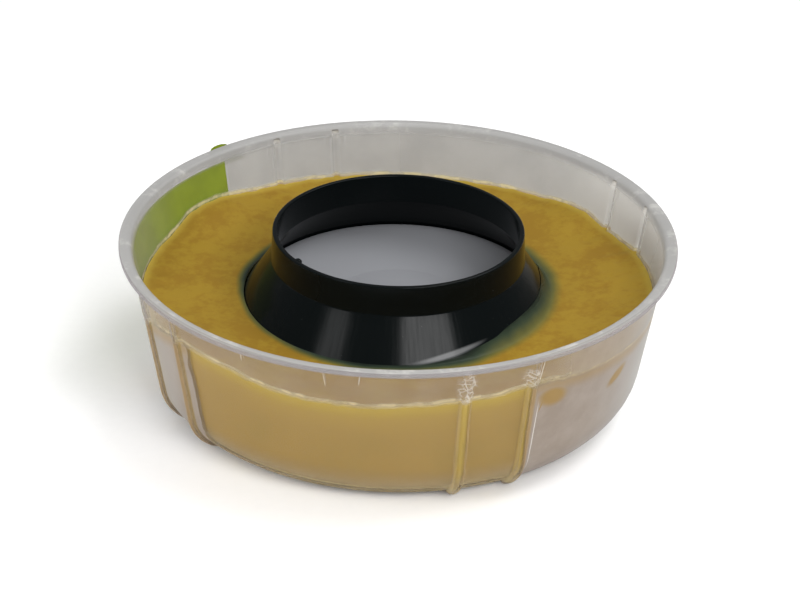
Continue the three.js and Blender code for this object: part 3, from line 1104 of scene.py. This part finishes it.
class SEAL_OT_wax(bpy.types.Operator):
    """Make the wax ring, cast round the horn and into the flutes"""

    bl_idname = "seal.wax"
    bl_label = "Wax ring"

    def execute(self, context):
        form = Form(context.scene)
        section = bmesh.new()
        wire(section, self.corners(form), closed=True)
        cut_edges(section, 1.4 * MM, self.top_edges(form, section))
        cut_edges(section, 0.45 * MM, self.top_edges(form, section, outer=49 * MM))
        cut_edges(section, 0.35 * MM, self.top_edges(form, section, inner=67 * MM))
        cut_edges(section, 4 * MM)
        bm = spin_sectors(section, flute_sectors(form, WAX_TURN))
        self.settle(bm, form)
        materials = [wax_finish(context.scene.seal_finishes)]
        finish_piece(context, bm, "wax_body", materials, "wax_ring", WAX_SHARP)
        return {"FINISHED"}

    def corners(self, form):
        """Section of the ring."""
        tub, wax, gap = form.tub, form.wax, form.wax.gap
        base = tub.wall + gap
        under, over = form.flange_bottom - gap, form.flange_top + gap
        rim, dish = form.wax_at_wall(form.wax_edge), form.wax_at_cone(form.wax_dish)
        return [
            (form.wax_at_post(under), under, 0),
            (form.wax_at_post(base), base, tub.post_foot - gap),
            (form.wax_at_wall(base), base, tub.corner - tub.wall - gap),
            (rim, form.wax_edge, 0),
            (rim - wax.meniscus, form.wax_rim, 1.2 * wax.meniscus),
            ((dish + form.wax_at_wall(form.wax_rim)) / 2, form.wax_dish + 0.3 * wax.rise, 40 * MM),
            (dish, form.wax_dish, 0),
            (form.wax_at_cone(over), over, 0),
            (form.flange_radius + gap, over, 0),
            (form.flange_radius + gap, under, 0),
        ]

    def top_edges(self, form, section, inner=0.0, outer=math.inf):
        """The section's edges on the wax's top that reach out past one radius and in past another."""
        found = []
        for edge in section.edges:
            ends = [vert.co for vert in edge.verts]
            if min(end.z for end in ends) <= form.wax_dish - 0.2 * MM:
                continue
            if max(end.x for end in ends) > inner and min(end.x for end in ends) < outer:
                found.append(edge)
        return found

    def settle(self, bm, form):
        """Lets the wax climb the wall and the cone, fill the flutes and ripple.

        It notes on each point how far out it is over the black flange, how near the wax's edge it is, and
        whether it is on the ring's side.
        """
        curves = shared_curves()
        cover, edge, side = (bm.verts.layers.float.new(name) for name in ("cover", "edge", "side"))
        for vert in bm.verts:
            x, y, z = vert.co
            radius, angle, front = math.hypot(x, y), math.atan2(y, x), math.atan2(x, -y)
            line = curves["edge"].at(front)
            rise = line - form.wax_edge + 0.35 * MM * noise.noise(Vector((x, y, 0)) / (3.5 * MM))
            wall = form.wax_at_wall(z)
            if z > form.wax_dish - 0.05 * MM and radius < wall - 0.02 * MM:
                radius, z = self.settle_top(form, vert.co, radius, rise, curves["creep"].at(front))
                wall = form.wax_at_wall(z)
                # The edge value marks where the wax is painted lighter, as painted light through the milky
                # wall.
                vert[edge] = 0.5 * smooth(radius, wall - 2.5 * MM, wall - 0.3 * MM)
            elif abs(radius - wall) < 0.05 * MM and z > form.tub.corner:
                z += rise * smooth(z, 0.6 * form.wax_rim, form.wax_edge)
                radius = form.wax_at_wall(z)
                vert[edge] = 0.8 * smooth(z, line - 6 * MM, line)
                vert[side] = 1.0
            vert.co = (radius * math.cos(angle), radius * math.sin(angle), z)
            fringe = (5.0 + 1.8 * math.sin(front)) * MM
            vert[cover] = (radius - curves["halo"].at(front)) / fringe + 0.5 if z > form.flange_top else 1.0
            if self.fill_flute(vert, form, radius, angle) > 0:
                vert[edge] = max(vert[edge], 0.5)
            if radius > form.corner_centre and z < form.wax_dish:
                vert[side] = 1.0
        bm.normal_update()

    def settle_top(self, form, place, radius, rise, creep):
        """New radius and height of a point on the top."""
        x, y, z = place
        wall = form.wax_at_wall(z)
        cone_foot = form.cone_outer(form.wax_dish)
        near = smooth(radius, wall - WALL_REACH, wall)
        lift = rise * near
        radius += (form.wax_at_wall(z + lift) - wall) * near
        ripple = noise.noise(Vector((x, y, 0)) / (11 * MM)) + 0.5 * noise.noise(Vector((x, y, 5)) / (5 * MM))
        lift += form.wax.ripple * ripple * (1 - near) * smooth(radius, cone_foot, cone_foot + HORN_REACH)
        z += lift
        share = 1 - min((radius - cone_foot) / HORN_REACH, 1.0)
        if share <= 0:
            return radius, z
        radius -= creep * form.cone_run * share
        cone = form.cone_height(radius)
        if share >= 1 - 1e-4:
            return radius, cone + 0.05 * MM
        film = cone + (form.wax.gap + form.wax.film * (1 - share)) / math.sin(form.horn.cone)
        return radius, soft_max(z, film, 0.8 * MM)

    def fill_flute(self, vert, form, radius, angle):
        """Moves a point of the outer face out into the nearest flute, and gives 0 where there is none."""
        half = form.tub.flute - 0.5 * MM
        across = form.across_flute(radius, angle)
        if abs(across) > half or radius < form.corner_centre:
            return 0.0
        depth, past, normal = form.wall_place(radius, vert.co.z)
        if depth > form.tub.wall + 4 * form.wax.gap:
            return 0.0
        share = max(1 - (across**2 + max(past, 0.0) ** 2) / half**2, 0.0)
        vert.co += Matrix.Rotation(angle, 3, "Z") @ normal * (form.tub.flute_proud * math.sqrt(share))
        return share


class SEAL_OT_horn(bpy.types.Operator):
    """Make the black horn: sleeve, cone and flange, with the nub on its lip"""

    bl_idname = "seal.horn"
    bl_label = "Horn"

    def execute(self, context):
        form = Form(context.scene)
        horn = form.horn
        bm = bmesh.new()
        wire(bm, self.corners(form), closed=True)
        cut_edges(bm, 3 * MM)
        spin(bm, math.tau, HORN_STEPS, whole=True)
        close_up(bm)
        middle = (horn.top_radius - 1.05 * horn.wall, 0, horn.height - 0.55 * MM)
        place = Matrix.Rotation(horn.nub_place, 4, "Z") @ Matrix.Translation(middle)
        squash = Matrix.Diagonal((1.0, 1.2, 0.9, 1.0))
        bmesh.ops.create_icosphere(bm, subdivisions=3, radius=horn.nub, matrix=place @ squash)
        materials = [horn_finish(context.scene.seal_finishes)]
        finish_piece(context, bm, "horn_body", materials, "horn")
        return {"FINISHED"}

    def corners(self, form):
        """Section of the horn."""
        horn = form.horn
        return [
            (horn.top_radius - horn.wall, horn.height, horn.lip_round),
            (horn.foot_radius - horn.wall, form.sleeve_foot, 0.8 * MM),
            (form.cone_inner(form.flange_bottom), form.flange_bottom, 0.1 * MM),
            (form.flange_radius, form.flange_bottom, 0.3 * MM),
            (form.flange_radius, form.flange_top, 0.3 * MM),
            (form.cone_outer(form.flange_top), form.flange_top, 0.4 * MM),
            (horn.foot_radius, form.sleeve_foot, 0.7 * MM),
            (horn.top_radius, horn.height, horn.lip_round),
        ]


class SEAL_OT_label(bpy.types.Operator):
    """Make the bare green label on the outside of the wall"""

    bl_idname = "seal.label"
    bl_label = "Label"

    def execute(self, context):
        form = Form(context.scene)
        label = form.label
        flat = [(form.label_at_wall(z), z, 0) for z in (label.bottom, label.top)]
        bm = self.strip(flat, label.start, label.stop)
        lifted = self.strip(self.lifted_corner(form), label.corner_start, label.corner_stop)
        self.droop_sides(lifted, label)
        self.thicken(lifted, label)
        self.thicken(bm, label)
        join(bm, lifted)
        materials = [label_finish(context.scene.seal_finishes)]
        finish_piece(context, bm, "label_film", materials, "label")
        return {"FINISHED"}

    def lifted_corner(self, form):
        """Section of the corner that has come off the wall and turned up past the flange."""
        tub, label = form.tub, form.label
        root = label.top - 1.2 * MM
        return [
            (form.label_at_wall(root) + 0.2 * MM, root, 0),
            (form.label_at_wall(label.top) + 1.2 * MM, label.top + 0.3 * MM, 1.5 * MM),
            (label.corner_reach - 0.2 * MM, tub.height - 1.4 * MM, 1.0 * MM),
            (label.corner_reach, tub.height, 0),
        ]

    def droop_sides(self, lifted, label):
        """Draws the lifted corner's sides down and in, so that it is rounded."""
        middle = (label.corner_start + label.corner_stop) / 2
        for vert in lifted.verts:
            off = abs(math.atan2(vert.co.y, vert.co.x) - middle) / (label.corner_stop - middle)
            fall = (vert.co.z - label.top + 1.2 * MM) * off**3
            vert.co -= Vector((vert.co.x, vert.co.y, 0)).normalized() * 0.9 * fall + Vector((0, 0, fall))

    def strip(self, corners, start, stop):
        """Sheet spun from a section between two angles."""
        bm = bmesh.new()
        wire(bm, corners)
        cut_edges(bm, 2 * MM)
        turn_about(bm, start)
        spin(bm, stop - start, round((stop - start) / WAX_TURN))
        bmesh.ops.remove_doubles(bm, verts=list(bm.verts), dist=WELD)
        return bm

    def thicken(self, bm, label):
        """Gives a sheet its thickness, outward."""
        bmesh.ops.recalc_face_normals(bm, faces=list(bm.faces))
        if sum(face.normal.x * face.calc_center_median().x for face in bm.faces) < 0:
            bmesh.ops.reverse_faces(bm, faces=list(bm.faces))
        bmesh.ops.solidify(bm, geom=list(bm.faces), thickness=-label.thickness)
        bmesh.ops.recalc_face_normals(bm, faces=list(bm.faces))


class SEAL_OT_stage(bpy.types.Operator):
    """Set up the paper floor, the soft lights and the camera"""

    bl_idname = "seal.stage"
    bl_label = "Stage"

    def execute(self, context):
        scene = context.scene
        stage = scene.seal_stage
        bm = bmesh.new()
        below = Matrix.Translation((0, 0, -0.05 * MM))
        bmesh.ops.create_grid(bm, x_segments=2, y_segments=2, size=3.0, matrix=below)
        floor = new_object(context, bm, "floor", [floor_finish(scene.seal_finishes)])
        self.even_light(scene, stage.world)
        middle = Vector((0, 0, 30 * MM))
        above = middle + Vector((0.45, 0.15, 0.75))
        right = middle + self.aim(25.5, 37, 0.6)
        left = middle + self.aim(-52, 34, 0.6)
        low = middle + self.aim(-82, 13, 1.0)
        self.light(scene, "top_light", above, middle, (0.5, 0.5), stage.top_light)
        self.light(scene, "wide_strip", right, middle, (0.36, 0.15), stage.strip_light)
        self.light(scene, "side_strip", left, middle, (0.17, 0.15), stage.side_light)
        fill = self.light(scene, "low_fill", low, middle, (0.8, 0.25), stage.fill_light)
        fill.visible_glossy = False
        self.camera(scene, stage)
        scene.view_settings.view_transform = "Standard"
        return {"FINISHED"}

    def even_light(self, scene, strength):
        """A white world, dimmer at the sides than above."""
        world = bpy.data.worlds.new("studio")
        world.use_nodes = True
        nodes = Nodes(world.node_tree)
        split = nodes.add("ShaderNodeSeparateXYZ")
        nodes.feed(split.inputs[0], nodes.add("ShaderNodeTexCoord").outputs["Generated"])
        background = world.node_tree.nodes["Background"]
        nodes.feed(background.inputs["Color"], (1.0, 1.0, 1.0))
        upward = nodes.step(split.outputs["Z"], 0.5, 0.95, 0.4 * strength, strength)
        nodes.feed(background.inputs["Strength"], upward)
        scene.world = world

    def aim(self, turn_degrees, rise_degrees, distance):
        """Offset from the object at an angle from the front and a height."""
        around, up = math.radians(turn_degrees), math.radians(rise_degrees)
        level = math.cos(up)
        return distance * Vector((math.sin(around) * level, -math.cos(around) * level, math.sin(up)))

    def light(self, scene, name, place, target, size, watts):
        """An area light that looks at a point and isn't seen itself."""
        data = bpy.data.lights.new(name, "AREA")
        data.shape = "RECTANGLE"
        data.size, data.size_y = size
        data.energy = watts
        lamp = bpy.data.objects.new(name, data)
        lamp.location = place
        lamp.rotation_euler = (place - target).to_track_quat("Z", "Y").to_euler()
        lamp.visible_camera = False
        scene.collection.objects.link(lamp)
        return lamp

    def camera(self, scene, stage):
        """The camera at the photo's angle."""
        camera = bpy.data.cameras.new("camera")
        camera.lens = stage.lens
        camera.sensor_width = 36.0
        camera.clip_start = 0.05
        camera.clip_end = 20.0
        back = Vector((0, -math.cos(stage.elevation), math.sin(stage.elevation)))
        seat = bpy.data.objects.new("camera", camera)
        seat.matrix_world = (
            Matrix.Translation(Vector(stage.target) + back * stage.distance)
            @ back.to_track_quat("Z", "Y").to_matrix().to_4x4()
            @ Matrix.Rotation(stage.roll, 4, "Z")
        )
        scene.collection.objects.link(seat)
        scene.camera = seat


class SEAL_PT_panel(bpy.types.Panel):
    """Sizes, colours and pieces of the seal."""

    bl_label = "Toilet pan seal"
    bl_idname = "SEAL_PT_panel"
    bl_space_type = "VIEW_3D"
    bl_region_type = "UI"
    bl_category = "Seal"

    def draw(self, context):
        for operator in OPERATORS:
            self.layout.operator(operator.bl_idname)
        for name in GROUPS:
            box = self.layout.box()
            group = getattr(context.scene, name)
            for key in group.bl_rna.properties.keys():
                if key not in ("name", "rna_type"):
                    box.prop(group, key)


GROUPS = {
    "seal_tub": TubSizes,
    "seal_wax": WaxSizes,
    "seal_horn": HornSizes,
    "seal_label": LabelSizes,
    "seal_finishes": Finishes,
    "seal_stage": StageSizes,
}
OPERATORS = (SEAL_OT_tub, SEAL_OT_wax, SEAL_OT_horn, SEAL_OT_label, SEAL_OT_stage)


def register():
    """Registers the classes and the scene's settings."""
    for cls in (*GROUPS.values(), *OPERATORS, SEAL_PT_panel):
        bpy.utils.register_class(cls)
    for name, cls in GROUPS.items():
        setattr(bpy.types.Scene, name, bpy.props.PointerProperty(type=cls))


def unregister():
    """Removes what register added."""
    for name in GROUPS:
        delattr(bpy.types.Scene, name)
    for cls in reversed((*GROUPS.values(), *OPERATORS, SEAL_PT_panel)):
        bpy.utils.unregister_class(cls)


def main():
    """Makes every piece and the stage."""
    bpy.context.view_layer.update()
    register()
    bpy.ops.seal.tub()
    bpy.ops.seal.wax()
    bpy.ops.seal.horn()
    bpy.ops.seal.label()
    bpy.ops.seal.stage()


if __name__ == "__main__":
    main()
